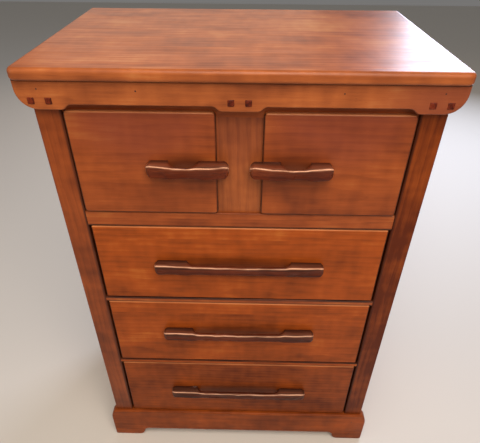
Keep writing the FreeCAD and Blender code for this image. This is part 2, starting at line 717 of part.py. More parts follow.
def makeUpperDrawers():
    # lipped fronts: they cover the edge of the stile and of the top rail
    deep = "proud + recess - slip"
    half = "(stileShow / 2)"
    for side, sign in (("left", "-"), ("right", "")):
        outer, near = sign + "(openHalf - gapUpper)", sign + half
        boxNear = sign + "(stileHalf + gapHigh)"
        left, right = (outer, near) if side == "left" else (near, outer)
        boxLeft, boxRight = (outer, boxNear) if side == "left" else (boxNear, outer)
        name = "upper_" + side
        lipX = "-(stileHalf + gapHigh)" if side == "left" else "stileHalf - lipOver"
        behind = "recess - slip"
        lips = [box(name + "_lip_side", "lipOver + gapHigh", "frontThick", "upperHigh", lipX, behind,
                    "upperLow"),
                box(name + "_lip_top", "upperWide", "frontThick", "lipTop + gapHigh", left, behind,
                    "topRailLow - gapHigh")]
        middle = sign + "(shortInner + shortHandle / 2)"
        places = [sign + "(shortInner + innerScrew)", sign + "(shortInner + shortHandle - outerScrew)"]
        pads = ["shortPadOut", "shortPadIn"] if side == "left" else ["shortPadIn", "shortPadOut"]
        handle = (["shortHandle"] + pads + ["shortDeep", "shortStand"], middle, "upperLow + upperHigh / 2",
                  places)
        drawer(name + "_drawer", left, right, "upperLow", "upperHigh", "-proud", boxLeft, boxRight,
               "wideRailTop + slip", "upperBox", handle, "upperCorner", lips)


def makeWideDrawers():
    places = ["-(longHandle - longPad) / 2", "(longHandle - longPad) / 2"]
    left, right = "-(openHalf - gapSide)", "(openHalf - gapSide)"
    for name, low, high, rail, lift in (
            ("second", "secondLow", "secondHigh", "upperRail + thinRail", ""),
            ("third", "thirdLow", "thirdHigh", "lowerRail + thinRail", " + thirdLift"),
            ("lowest", "lowestLow", "lowestHigh", "baseHigh", " - lowestDrop")):
        handle = (["longHandle", "longPad", "longPad", "longDeep", "longStand"], "0",
                  low + " + " + high + " / 2" + lift, places)
        drawer(name + "_drawer", left, right, low, high, "0", left, right, rail + " + slip", name + "Box",
               handle, "wideCorner", [])


makeTop()
makeApron()
makePosts()
makeFrontRails()
makeBase()
makeSides()
makeRunners()
makeUpperDrawers()
makeWideDrawers()
doc.recompute()

casePieces = ["top_panel", "top_screws", "left_top_cleat", "right_top_cleat", "top_rear_rail", "front_apron",
              "apron_pegs", "left_front_post", "right_front_post", "top_front_rail", "center_stile",
              "wide_rail", "upper_thin_rail", "lower_thin_rail", "base_board", "bottom_rail",
              "base_corner_blocks", "left_side_panel", "right_side_panel", "back_panel", "left_runners",
              "right_runners", "center_runner", "rear_rails"]
drawerNames = ["upper_left_drawer", "upper_right_drawer", "second_drawer", "third_drawer", "lowest_drawer"]
drawerPieces = ["front", "left_side", "right_side", "back", "bottom", "handle", "handle_screws"]
pieces = casePieces + [name + "_" + part for name in drawerNames for part in drawerPieces]

for thing in doc.Objects:
    for fault in ("Invalid", "Error"):
        if fault in thing.State:
            raise RuntimeError("%s did not recompute: %s" % (thing.Label, thing.State))

os.makedirs("parts", exist_ok=True)
for label in pieces:
    piece = doc.getObjectsByLabel(label)[0]
    shape = piece.Shape
    if shape.isNull() or not shape.isValid() or not shape.Solids:
        raise RuntimeError(label + " has no valid solid")
    shape.exportStep("parts/" + label + ".step")
print(len(pieces), "pieces written")
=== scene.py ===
import math
import random

import bmesh
import bpy
from mathutils import Matrix, Vector


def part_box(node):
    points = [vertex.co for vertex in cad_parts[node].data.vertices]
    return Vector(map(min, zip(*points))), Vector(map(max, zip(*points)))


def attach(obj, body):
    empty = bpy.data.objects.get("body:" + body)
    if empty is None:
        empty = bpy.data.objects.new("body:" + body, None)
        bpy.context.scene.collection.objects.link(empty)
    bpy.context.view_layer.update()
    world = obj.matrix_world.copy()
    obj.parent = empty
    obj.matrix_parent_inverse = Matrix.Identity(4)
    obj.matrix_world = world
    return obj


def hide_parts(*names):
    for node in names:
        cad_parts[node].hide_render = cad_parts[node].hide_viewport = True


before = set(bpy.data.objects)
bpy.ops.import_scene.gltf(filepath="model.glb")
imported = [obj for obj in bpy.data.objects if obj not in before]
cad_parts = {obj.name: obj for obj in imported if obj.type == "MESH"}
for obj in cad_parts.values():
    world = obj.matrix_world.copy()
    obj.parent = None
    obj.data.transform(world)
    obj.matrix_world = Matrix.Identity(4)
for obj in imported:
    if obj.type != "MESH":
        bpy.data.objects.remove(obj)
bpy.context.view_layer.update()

mm = 0.001
drawerNames = ["upper_left_drawer", "upper_right_drawer", "second_drawer", "third_drawer", "lowest_drawer"]


# small helpers

def linearColor(code):
    channels = [int(code[i:i + 2], 16) / 255 for i in (1, 3, 5)]
    return [c / 12.92 if c <= 0.04045 else ((c + 0.055) / 1.055) ** 2.4 for c in channels] + [1]


def addNode(tree, kind, sockets=None, **settings):
    # settings are the node's own options; a socket's value is a constant or another node's output
    node = tree.nodes.new(kind)
    for name, value in settings.items():
        setattr(node, name, value)
    for name, value in (sockets or {}).items():
        if isinstance(value, bpy.types.NodeSocket):
            tree.links.new(value, node.inputs[name])
        else:
            node.inputs[name].default_value = value
    return node


def meshObject(name, mesh):
    thing = bpy.data.objects.new(name, mesh)
    bpy.context.scene.collection.objects.link(thing)
    return thing


def fromBmesh(name, shape):
    mesh = bpy.data.meshes.new(name)
    bmesh.ops.recalc_face_normals(shape, faces=shape.faces)
    shape.to_mesh(mesh)
    shape.free()
    return mesh


def middle(name):
    low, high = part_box(name)
    return (low + high) / 2


# wood: one figure that all the boards share, cut differently for each board

mapleFigure = {  # millimetres
    "ringApart": 13,      # growth rings, wide as in fast-grown soft maple
    "ringBend": 20,       # how far they wander
    "bendLong": 380, "bendWide": 90,
    "streakLong": 150, "streakWide": 5.5,   # drawn a little coarser than real fibres, so that they show
    "fibreLong": 34, "fibreWide": 1.5,
    "cloudLong": 170, "cloudWide": 85,      # where the stain has gone in unevenly
    "curlLong": 24, "curlWide": 70,         # faint ripples across the grain
    "poreLong": 9, "poreWide": 1.0,
    "waveLong": 160, "waveWide": 60,        # flats left by planing and sanding by hand
}


def figureGroup(sizes):
    # the incoming vector has the grain along X, in metres, with the heart of the tree on that axis
    tree = bpy.data.node_groups.new("mapleFigure", "ShaderNodeTree")
    tree.interface.new_socket("Vector", in_out="INPUT", socket_type="NodeSocketVector")
    tree.interface.new_socket("Stave", in_out="INPUT", socket_type="NodeSocketFloat").default_value = 10
    for name in ("Rings", "Streaks", "Fibres", "Clouds", "Curl", "Pores", "Wave", "Tint"):
        tree.interface.new_socket(name, in_out="OUTPUT", socket_type="NodeSocketFloat")
    given = addNode(tree, "NodeGroupInput").outputs

    def noise(vector, name, detail=2.0, rough=0.5):
        long, wide = sizes[name + "Long"] * mm, sizes[name + "Wide"] * mm
        spread = addNode(tree, "ShaderNodeVectorMath", {0: vector, 1: (1 / long, 1 / wide, 1 / wide)},
                         operation="MULTIPLY")
        return addNode(tree, "ShaderNodeTexNoise", {"Vector": spread.outputs[0], "Scale": 1.0,
                                                    "Detail": detail, "Roughness": rough})

    # boards glued side by side: each stave comes from another part of the log
    split = addNode(tree, "ShaderNodeSeparateXYZ", {0: given["Vector"]}).outputs
    across = addNode(tree, "ShaderNodeMath", {0: split[1], 1: split[2]}, operation="ADD")
    share = addNode(tree, "ShaderNodeMath", {0: across.outputs[0], 1: given["Stave"]}, operation="DIVIDE")
    number = addNode(tree, "ShaderNodeMath", {0: share.outputs[0]}, operation="FLOOR")
    lot = addNode(tree, "ShaderNodeTexWhiteNoise", {"W": number.outputs[0]}, noise_dimensions="1D")
    apart = addNode(tree, "ShaderNodeVectorMath", {0: lot.outputs["Color"], 1: (3.0, 0.09, 0.09)},
                    operation="MULTIPLY")
    moved = addNode(tree, "ShaderNodeVectorMath", {0: given["Vector"], 1: apart.outputs[0]}).outputs[0]

    bend = addNode(tree, "ShaderNodeVectorMath", {0: noise(moved, "bend", 3).outputs["Color"],
                                                  1: (0.5, 0.5, 0.5)}, operation="SUBTRACT")
    bent = addNode(tree, "ShaderNodeVectorMath", {0: bend.outputs[0], "Scale": 2 * sizes["ringBend"] * mm},
                   operation="SCALE")
    flat = addNode(tree, "ShaderNodeVectorMath", {0: moved, 1: (0.012, 1, 1)}, operation="MULTIPLY")
    heart = addNode(tree, "ShaderNodeVectorMath", {0: flat.outputs[0], 1: bent.outputs[0]})
    radius = addNode(tree, "ShaderNodeVectorMath", {0: heart.outputs[0]}, operation="LENGTH").outputs["Value"]
    years = addNode(tree, "ShaderNodeMath", {0: radius, 1: sizes["ringApart"] * mm}, operation="DIVIDE")
    year = addNode(tree, "ShaderNodeMath", {0: years.outputs[0]}, operation="FRACT").outputs[0]
    # each ring darkens slowly and ends in a thin late-wood line
    late = addNode(tree, "ShaderNodeMapRange", {"Value": year, "From Min": 0.35, "From Max": 0.94},
                   interpolation_type="SMOOTHSTEP")
    edge = addNode(tree, "ShaderNodeMapRange", {"Value": year, "From Min": 1.0, "From Max": 0.94},
                   interpolation_type="SMOOTHSTEP")
    rings = addNode(tree, "ShaderNodeMath", {0: late.outputs[0], 1: edge.outputs[0]}, operation="MULTIPLY")

    pores = addNode(tree, "ShaderNodeMapRange", {"Value": noise(moved, "pore", 1).outputs[0],
                                                 "From Min": 0.66, "From Max": 0.74})
    results = {
        "Rings": rings, "Streaks": noise(moved, "streak", 3), "Fibres": noise(moved, "fibre", 2),
        "Clouds": noise(moved, "cloud", 3, 0.6), "Curl": noise(moved, "curl", 1), "Pores": pores,
        "Wave": noise(moved, "wave", 1), "Tint": lot,
    }
    ends = addNode(tree, "NodeGroupOutput")
    for name, node in results.items():
        tree.links.new(node.outputs[0], ends.inputs[name])
    return tree


figure = figureGroup(mapleFigure)
turnTo = {"x": (0, 0, 0), "y": (0, 0, -math.pi / 2), "z": (0, math.pi / 2, 0)}

finishes = {
    # soft maple, wiped with a red-brown oil stain and brushed with satin lacquer: warm, cloudy, softly glossy
    "stainedMaple": {
        "colors": ("#5c2710", "#884019", "#a04f20", "#b96f36"), "stops": (0.20, 0.42, 0.58, 0.82),
        "rings": 0.06, "streaks": 0.09, "fibres": 0.07, "clouds": 0.34,
        "curl": 0.10, "tint": 0.10, "pores": 0.30,
        "rough": (0.34, 0.46), "bump": 0.10, "coat": 0.10, "coatRough": 0.26, "specular": 0.24,
    },
    # the boards that get the most light: a lighter, pinker copy of the same stain, which paints in their
    # light and pink sheen
    "litStainedMaple": {
        "colors": ("#622e1a", "#914c25", "#aa5d2e", "#c3824c"), "stops": (0.20, 0.42, 0.58, 0.82),
        "rings": 0.06, "streaks": 0.09, "fibres": 0.07, "clouds": 0.38,
        "curl": 0.10, "tint": 0.10, "pores": 0.30,
        "rough": (0.34, 0.46), "bump": 0.10, "coat": 0.10, "coatRough": 0.26, "specular": 0.24,
    },
    # boards that took more of the same stain: deeper and redder, less sheen; on the right post, with its low
    # tone, it also paints in the shade of that less lit side
    "deepStainedMaple": {
        "colors": ("#5c240b", "#8b4116", "#a84f1a", "#c67431"), "stops": (0.20, 0.42, 0.58, 0.82),
        "rings": 0.06, "streaks": 0.08, "fibres": 0.07, "clouds": 0.36,
        "curl": 0.10, "tint": 0.10, "pores": 0.30,
        "rough": (0.38, 0.50), "bump": 0.10, "coat": 0.05, "coatRough": 0.30, "specular": 0.13,
    },
    # the same maple under a dark walnut stain, rubbed pale along the front edge, with a painted highlight
    # over the rubbed edge: deep, a little glossier
    "darkHandleMaple": {
        "colors": ("#361004", "#501b08", "#62250d", "#7b381a"), "stops": (0.22, 0.42, 0.60, 0.82),
        "rings": 0.10, "streaks": 0.30, "fibres": 0.20, "clouds": 0.40,
        "curl": 0.06, "tint": 0.0, "pores": 0.4,
        "rough": (0.24, 0.36), "bump": 0.16, "coat": 0.08, "coatRough": 0.14, "specular": 0.14,
        # colour of the rubbed edge and of the painted highlight over it
        "worn": "#f0b896",
    },
    # end grain of a hard peg, which drinks the stain: almost black-brown, duller
    "stainedPegWood": {
        "colors": ("#3a1006", "#5a1d0a", "#702810", "#843818"), "stops": (0.25, 0.45, 0.6, 0.8),
        "rings": 0.2, "streaks": 0.2, "fibres": 0.3, "clouds": 0.3,
        "curl": 0.0, "tint": 0.0, "pores": 0.5,
        "rough": (0.42, 0.55), "bump": 0.25, "coat": 0.05, "coatRough": 0.3, "specular": 0.2,
    },
    # planed maple left without finish inside the chest: pale cream, dry, faint pink-grey streaks
    "rawMaple": {
        "colors": ("#b38a5e", "#cda777", "#dcbd92", "#e8d0ab"), "stops": (0.22, 0.42, 0.60, 0.82),
        "rings": 0.09, "streaks": 0.13, "fibres": 0.12, "clouds": 0.24,
        "curl": 0.10, "tint": 0.14, "pores": 0.35,
        "rough": (0.55, 0.70), "bump": 0.30, "coat": 0.0, "coatRough": 0.3, "specular": 0.3,
    },
    # rotary-cut birch plywood: wide lazy figure, pale yellow-brown, matt
    "birchPlywood": {
        "colors": ("#ad8455", "#c69e6a", "#d5b382", "#e0c59b"), "stops": (0.22, 0.42, 0.60, 0.82),
        "rings": 0.17, "streaks": 0.08, "fibres": 0.10, "clouds": 0.26,
        "curl": 0.06, "tint": 0.0, "pores": 0.25,
        "rough": (0.60, 0.72), "bump": 0.18, "coat": 0.0, "coatRough": 0.3, "specular": 0.3,
    },
}


markSizes = {"everywhere": 1000.0, "core": 0.30}


def woodMaterial(name, finish, centre, grain="x", shift=(0, 0, 0), tone=0.0, stave=10.0, marks=()):
    # shift moves the heart of the tree away from the board, in metres; tone is lighter above 0;
    # a mark is a soft spot or band of another colour: where, how far it reaches, colour, strength
    look = finishes[finish]
    material = bpy.data.materials.new(name + "_" + finish)
    material.use_nodes = True
    tree = material.node_tree
    tree.nodes.clear()
    place = addNode(tree, "ShaderNodeTexCoord").outputs["Object"]
    centred = addNode(tree, "ShaderNodeMapping", {"Vector": place, "Location": [-c for c in centre]})
    turned = addNode(tree, "ShaderNodeMapping", {"Vector": centred.outputs[0], "Rotation": turnTo[grain],
                                                 "Location": shift})
    wood = addNode(tree, "ShaderNodeGroup", node_tree=figure)
    tree.links.new(turned.outputs[0], wood.inputs["Vector"])
    wood.inputs["Stave"].default_value = stave
    shade = 0.5 + tone + look["rings"] * 0.35
    for part, sign in (("rings", -1), ("streaks", 1), ("fibres", 1), ("clouds", 1), ("curl", 1), ("tint", 1)):
        low = 0 if part == "rings" else 0.5
        moved = addNode(tree, "ShaderNodeMath", {0: wood.outputs[part.capitalize()], 1: low},
                        operation="SUBTRACT")
        strength = sign * look[part] * (1.0 if part in ("rings", "tint") else 2.0)
        shade = addNode(tree, "ShaderNodeMath", {0: moved.outputs[0], 1: strength, 2: shade},
                        operation="MULTIPLY_ADD").outputs[0]
    ramp = addNode(tree, "ShaderNodeValToRGB", {"Fac": shade})
    while len(ramp.color_ramp.elements) < len(look["colors"]):
        ramp.color_ramp.elements.new(0.5)
    for element, at, code in zip(ramp.color_ramp.elements, look["stops"], look["colors"]):
        element.position, element.color = at, linearColor(code)
    filled = addNode(tree, "ShaderNodeMath", {0: wood.outputs["Pores"], 1: look["pores"]},
                     operation="MULTIPLY")
    color = addNode(tree, "ShaderNodeMix", {"Factor": filled.outputs[0], 6: ramp.outputs[0],
                                            7: linearColor(look["colors"][0])}, data_type="RGBA")
    patchy = addNode(tree, "ShaderNodeMapRange", {"Value": wood.outputs["Clouds"], "From Min": 0.35,
                                                  "From Max": 0.6, "To Min": 0.6, "To Max": 1.0})
    # the marks paint shade, highlights and grime into the colour
    for spot, reach, code, strength in marks:
        away = addNode(tree, "ShaderNodeMapping", {"Vector": place, "Location": spot, "Scale": reach},
                       vector_type="TEXTURE")
        far = addNode(tree, "ShaderNodeVectorMath", {0: away.outputs[0]}, operation="LENGTH")
        near = addNode(tree, "ShaderNodeMapRange", {"Value": far.outputs["Value"], "From Min": 1.0,
                                                    "From Max": markSizes["core"], "To Max": strength},
                       interpolation_type="SMOOTHSTEP")
        part = addNode(tree, "ShaderNodeMath", {0: near.outputs[0], 1: patchy.outputs[0]},
                       operation="MULTIPLY")
        color = addNode(tree, "ShaderNodeMix", {"Factor": part.outputs[0], 6: color.outputs[2],
                                                7: linearColor(code)}, data_type="RGBA")
    if "worn" in look:   # rubbed edges under a painted highlight, and a top made lighter as painted light, put on the piece as an attribute
        wearAndHighlight = addNode(tree, "ShaderNodeAttribute", attribute_name="wearAndHighlight")
        broken = addNode(tree, "ShaderNodeMapRange", {"Value": wood.outputs["Streaks"], "From Min": 0.34,
                                                      "From Max": 0.56, "To Min": 0.45, "To Max": 1.0})
        part = addNode(tree, "ShaderNodeMath", {0: wearAndHighlight.outputs["Fac"], 1: broken.outputs[0]},
                       operation="MULTIPLY")
        color = addNode(tree, "ShaderNodeMix", {"Factor": part.outputs[0], 6: color.outputs[2],
                                                7: linearColor(look["worn"])}, data_type="RGBA")
    low, high = look["rough"]
    rough = addNode(tree, "ShaderNodeMapRange", {"Value": wood.outputs["Streaks"], "From Min": 0.3,
                                                 "From Max": 0.7, "To Min": high, "To Max": low})
    grainHeight = addNode(tree, "ShaderNodeMath", {0: wood.outputs["Fibres"], 1: wood.outputs["Streaks"]})
    worn = addNode(tree, "ShaderNodeBump", {"Height": wood.outputs["Wave"], "Strength": look["bump"],
                                            "Distance": 4 * mm})
    relief = addNode(tree, "ShaderNodeBump", {"Height": grainHeight.outputs[0], "Strength": look["bump"],
                                              "Distance": 0.6 * mm, "Normal": worn.outputs[0]})
    shader = addNode(tree, "ShaderNodeBsdfPrincipled", {
        "Base Color": color.outputs[2], "Roughness": rough.outputs[0], "Normal": relief.outputs[0],
        "Specular IOR Level": look["specular"], "Coat Weight": look["coat"],
        "Coat Roughness": look["coatRough"]})
    addNode(tree, "ShaderNodeOutputMaterial", {"Surface": shader.outputs[0]})
    return material


def paint(thing, material):
    for place in thing.material_slots:
        place.material = material
    if not thing.material_slots:
        thing.data.materials.append(material)


boards = {  # CAD node: finish, direction of the grain, tone
    "top_panel": ("litStainedMaple", "x", 0.05), "front_apron": ("litStainedMaple", "x", 0.0),
    # the right post's low tone and deeper finish are painted shade: that side of the chest gets less light
    "left_front_post": ("stainedMaple", "z", -0.06), "right_front_post": ("deepStainedMaple", "z", -0.24),
    "left_side_panel": ("stainedMaple", "z", -0.02), "right_side_panel": ("stainedMaple", "z", -0.02),
    "top_front_rail": ("stainedMaple", "x", -0.02), "center_stile": ("litStainedMaple", "z", -0.05),
    "wide_rail": ("stainedMaple", "x", 0.02), "upper_thin_rail": ("stainedMaple", "x", 0.02),
    "lower_thin_rail": ("deepStainedMaple", "x", 0.0), "base_board": ("deepStainedMaple", "x", -0.06),
    "back_panel": ("birchPlywood", "z", 0.0), "bottom_rail": ("rawMaple", "x", 0.0),
    "base_corner_blocks": ("rawMaple", "z", 0.0), "left_runners": ("rawMaple", "y", 0.0),
    "right_runners": ("rawMaple", "y", 0.0), "center_runner": ("rawMaple", "y", 0.0),
    "rear_rails": ("rawMaple", "x", 0.0), "top_rear_rail": ("rawMaple", "x", 0.0),
    "left_top_cleat": ("rawMaple", "y", 0.0), "right_top_cleat": ("rawMaple", "y", 0.0),
}
frontTones = {"upper_left_drawer": -0.01, "upper_right_drawer": 0.0, "second_drawer": 0.05,
              "third_drawer": 0.03, "lowest_drawer": -0.11}
for drawer, tone in frontTones.items():
    frontFinish = "stainedMaple" if drawer.startswith("upper") else "deepStainedMaple"
    boards[drawer + "_front"] = (frontFinish, "x", tone)
    boards[drawer + "_left_side"] = boards[drawer + "_right_side"] = ("rawMaple", "y", 0.0)
    boards[drawer + "_back"] = ("rawMaple", "x", 0.0)
    boards[drawer + "_bottom"] = ("birchPlywood", "x", 0.0)
staves = {"top_panel": 128, "left_side_panel": 116, "right_side_panel": 121}  # boards glued up to that width
# colours and widths of the painted shade in gaps, the painted highlight on top arrises, the grime and painted
# shadow round the handles, and the soft patches of painted shade
shadeAndHighlightMarks = {
    "dark": "#260d06", "pale": "#d58d5a", "grimeAndShade": "#35130a", "shadePatch": "#74352a",
    "wide": 4.2 * mm, "highlightWide": 3.4 * mm, "railWide": 6 * mm, "postWide": 7 * mm,
    "shadePatchAcross": 200 * mm, "shadePatchDown": 150 * mm,
    "behindHandle": 17 * mm, "besideHandle": 4 * mm, "belowHandle": 42 * mm, "handleDrop": 5 * mm,
}


def rim(level, axis, color, strength, wide):
    # a thin band along one edge of a board: painted shade in the gap beside it, and along the top arris of a
    # front a painted highlight
    spot, reach = [0, 0, 0], [markSizes["everywhere"]] * 3
    spot[axis], reach[axis] = level, wide
    return spot, reach, shadeAndHighlightMarks[color], strength


def shadePatch(x, z, strength):
    # a wide soft patch of painted shade, under the apron's overhang and at the less lit right end of the
    # apron
    reach = (shadeAndHighlightMarks["shadePatchAcross"], markSizes["everywhere"], shadeAndHighlightMarks["shadePatchDown"])
    return (x, 0, z), reach, shadeAndHighlightMarks["shadePatch"], strength


def marksOn(node):
    low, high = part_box(node)
    dark, light = shadeAndHighlightMarks["wide"], shadeAndHighlightMarks["highlightWide"]
    if node.endswith("_drawer_front"):
        # grime round the handle, with a painted shadow below it and behind the grip
        start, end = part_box(node.replace("_front", "_handle"))
        spot = ((start.x + end.x) / 2, 0, (start.z + end.z) / 2 - shadeAndHighlightMarks["handleDrop"])
        reach = ((end.x - start.x) / 2 + shadeAndHighlightMarks["besideHandle"], markSizes["everywhere"],
                 shadeAndHighlightMarks["belowHandle"])
        marks = [(spot, reach, shadeAndHighlightMarks["grimeAndShade"], 0.75)]
        # painted shadow of the apron along the top of the upper fronts
        if node.startswith("upper"):
            marks.insert(0, shadePatch((low.x + high.x) / 2, high.z, 0.6))
        # painted shade in the gaps at the sides and bottom, and a painted highlight on the top arris
        return marks + [rim(low.x, 0, "dark", 0.9, dark), rim(high.x, 0, "dark", 0.9, dark),
                        rim(low.z, 2, "dark", 0.85, dark), rim(high.z, 2, "pale", 0.6, light)]
    # painted shade in the gaps above and below the rails
    if node.endswith("thin_rail"):
        return [rim(low.z, 2, "dark", 0.6, dark), rim(high.z, 2, "dark", 0.95, shadeAndHighlightMarks["railWide"])]
    if node == "wide_rail":
        return [rim(low.z, 2, "dark", 0.95, shadeAndHighlightMarks["railWide"]), rim(high.z, 2, "dark", 0.4, dark)]
    if node == "front_apron":   # painted shade at its right end, and a painted shadow line under the slab
        return [shadePatch(high.x, low.z, 0.6), rim(high.z, 2, "dark", 0.95, dark)]
    # painted shade under the apron and in the gaps beside the drawers
    if node == "center_stile":
        return [shadePatch((low.x + high.x) / 2, high.z, 0.3), rim(low.x, 0, "dark", 0.6, dark),
                rim(high.x, 0, "dark", 0.5, dark)]
    # painted shade in the gap beside the drawers
    if node.endswith("front_post"):
        return [rim(high.x if low.x < 0 else low.x, 0, "dark", 0.85, shadeAndHighlightMarks["postWide"])]
    return []


dice = random.Random(41)
for node, (finish, grain, tone) in boards.items():
    shift = (dice.uniform(-2, 2), dice.choice((-1, 1)) * dice.uniform(0.05, 0.12), dice.uniform(-0.11, 0.11))
    material = woodMaterial(node, finish, middle(node), grain, shift, tone, staves.get(node, 10000) * mm,
                            marksOn(node))
    paint(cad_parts[node], material)
print("boards finished:", len(boards))


# handles: a bar shaped with a drawknife, one for each drawer

handleShape = {  # millimetres
    "padCorner": 11.5, "gripCurve": 17, "arris": 3.2, "padArris": 0.6, "padHigh": 27, "gripThick": 11.4,
    "cutDeep": 0.6, "cutReach": 26, "waver": 0.4, "waverLong": 11,
}
handleSteps = {"stations": 210, "nearEnds": 0.35, "aroundSide": 7, "aroundCorner": 4, "cuts": 60}
handleEnds = {"high": 0.85, "back": 0.5}   # share of the end's rounding that the height and the back follow
handleKinds = {  # pads at the left and right ends, depth at the pads and in the middle, height of the grip
    "upper_left_drawer": (42, 60, 25, 33, 24), "upper_right_drawer": (60, 42, 25, 33, 24),
    "second_drawer": (74, 74, 22, 24, 22), "third_drawer": (74, 74, 22, 24, 21),
    "lowest_drawer": (74, 74, 22, 24, 21),
}
cutTilt = (0.025, 0.14, 0.14)   # the blade follows the bar's length much more closely than its section
handleTones = {"upper_left_drawer": 0.07, "upper_right_drawer": 0.05, "second_drawer": -0.07,
               "third_drawer": -0.05, "lowest_drawer": -0.15}
# rubbed wear on the top-front arris with a painted highlight over it, and a lighter top as painted light
handleWearAndHighlight = {"arris": (0.12, 0.6, 1.0, 0.55, 0.08), "top": (0.0, 0.10), "front": 0.03, "ends": 0.22,
              "endReach": 4}


def smoothStep(value):
    value = min(1.0, max(0.0, value))
    return value * value * (3 - 2 * value)


def handleSection(shape, kind, half, x):
    # half height, front and back of the bar at x; y = 0 on the drawer front
    padLeft, padRight, deep, reach, gripHigh = kind
    fromPad = min(x + half - padLeft, half - padRight - x)
    grip = smoothStep(fromPad / shape["gripCurve"])
    hollow = math.sqrt(smoothStep(fromPad / (0.9 * shape["gripCurve"])))
    bowed = (reach - deep) * (1 - (x / half) ** 2)
    high = (shape["padHigh"] * (1 - grip) + gripHigh * grip) / 2
    front = -(deep + bowed)
    back = hollow * (front + shape["gripThick"])
    return high, front, back


def whittledBar(name, shape, kind, length, seed):
    half = length / 2
    corner, arris = shape["padCorner"], shape["arris"]
    knife = random.Random(seed)
    solid = bmesh.new()
    wearAndHighlight = solid.verts.layers.float.new("wearAndHighlight")
    rings = []
    bunch = handleSteps["nearEnds"]   # this share of the spacing crowds towards the ends
    for step in range(handleSteps["stations"] + 1):
        t = step / handleSteps["stations"]
        x = half * (2 * t - 1)
        x = half * math.sin(math.pi * (t - 0.5)) * bunch + x * (1 - bunch)
        high, front, back = handleSection(shape, kind, half, x)
        inset = half - abs(x)
        if inset < corner:   # ends turn in along a quarter circle
            pull = corner - math.sqrt(max(0.0, corner ** 2 - (corner - inset) ** 2))
            high, front = high - handleEnds["high"] * pull, front + pull
            back -= handleEnds["back"] * pull
        # the knife never ran quite true
        front += shape["waver"] * (1 + math.sin(x / shape["waverLong"] + seed))
        radius = min(arris, high * 0.8, (back - front) * 0.45)
        atEnd = handleWearAndHighlight["ends"] * (1 - smoothStep(inset / handleWearAndHighlight["endReach"]))
        # how much rubbed wear and painted highlight each point of the section gets
        ring, rubbedAndLit = [], []
        for cy, cz, start in ((back - radius, high - radius, 0), (front + radius, high - radius, 1),
                              (front + radius, radius - high, 2), (back - radius, radius - high, 3)):
            # sharp where the pad meets the drawer
            small = shape["padArris"] if start in (0, 3) and back > -1 else radius
            cy, cz = (back - small if start in (0, 3) else cy), math.copysign(high - small, cz)
            for k in range(handleSteps["aroundCorner"] + 1):
                angle = math.pi / 2 * (start + k / handleSteps["aroundCorner"])
                ring.append(Vector((x, cy + small * math.cos(angle), cz + small * math.sin(angle))))
                rubbedAndLit.append(handleWearAndHighlight["arris"][k] if start == 1 else 0)
            nextY, nextZ = ((front + radius, high), (front, radius - high), (back - radius, -high),
                            (back, high - radius))[start]
            last = ring[-1]
            for k in range(1, handleSteps["aroundSide"]):
                share = k / handleSteps["aroundSide"]
                ring.append(last.lerp(Vector((x, nextY, nextZ)), share))
                behind, before = handleWearAndHighlight["top"]
                rubbedAndLit.append((behind + (before - behind) * share, handleWearAndHighlight["front"] * (1 - share),
                               0, 0)[start])
        rings.append([solid.verts.new(point) for point in ring])
        for vertex, amount in zip(rings[-1], rubbedAndLit):
            vertex[wearAndHighlight] = max(amount, atEnd if vertex.co.z > 0 else 0)
    for one, two in zip(rings, rings[1:]):
        for k in range(len(one)):
            after = (k + 1) % len(one)
            solid.faces.new((one[k], one[after], two[after], two[k]))
    for ring in (rings[0], rings[-1]):
        centre = solid.verts.new(sum((v.co for v in ring), Vector()) / len(ring))
        for k in range(len(ring)):
            solid.faces.new((ring[k], ring[(k + 1) % len(ring)], centre))
    # knife cuts: the wood outside a plane that grazes the surface is taken off
    solid.normal_update()
    solid.verts.ensure_lookup_table()
    outside = [v for v in solid.verts if v.co.y < -3]
    for _ in range(handleSteps["cuts"]):
        at = knife.choice(outside)
        tilt = Vector([knife.gauss(0, spread) for spread in cutTilt])
        normal = (at.normal + tilt).normalized()
        depth = knife.uniform(0.2, 1.0) * shape["cutDeep"]
        middlePoint = at.co - normal * depth
        reach = shape["cutReach"] * knife.uniform(0.6, 1.5)
        for v in outside:
            apart = v.co - middlePoint
            above = apart.dot(normal)
            if above > 0 and abs(apart.x) < reach and apart.length < reach * 1.3:
                ease = smoothStep((reach - abs(apart.x)) / (0.7 * reach))
                v.co -= normal * min(above, 1.6 * shape["cutDeep"]) * ease
    for v in solid.verts:
        v.co *= mm
    return fromBmesh(name, solid)


for number, drawer in enumerate(drawerNames):
    low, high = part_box(drawer + "_handle")
    name = drawer + "_whittled_handle"
    bar = whittledBar(name, handleShape, handleKinds[drawer], (high.x - low.x) / mm, 7 + number)
    bar.transform(Matrix.Translation(((low.x + high.x) / 2, high.y, (low.z + high.z) / 2)))
    bar.shade_smooth()
    bar.set_sharp_from_angle(angle=math.radians(32))
    handle = meshObject(name, bar)
    shift = (0.3 * number, 0.07, 0.02 * number)
    # painted shade with grime on the back of the bar, next to the drawer front
    grimeAndShade = rim(high.y, 1, "dark", 0.85, shadeAndHighlightMarks["behindHandle"])
    paint(handle, woodMaterial(name, "darkHandleMaple", middle(drawer + "_handle"), "x", shift,
                               handleTones[drawer], marks=[grimeAndShade]))
    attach(handle, drawer)
    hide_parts(drawer + "_handle")
print("handles whittled:", len(drawerNames))


# fixings: heads, screws, pegs and filled nail holes are set out by geometry nodes

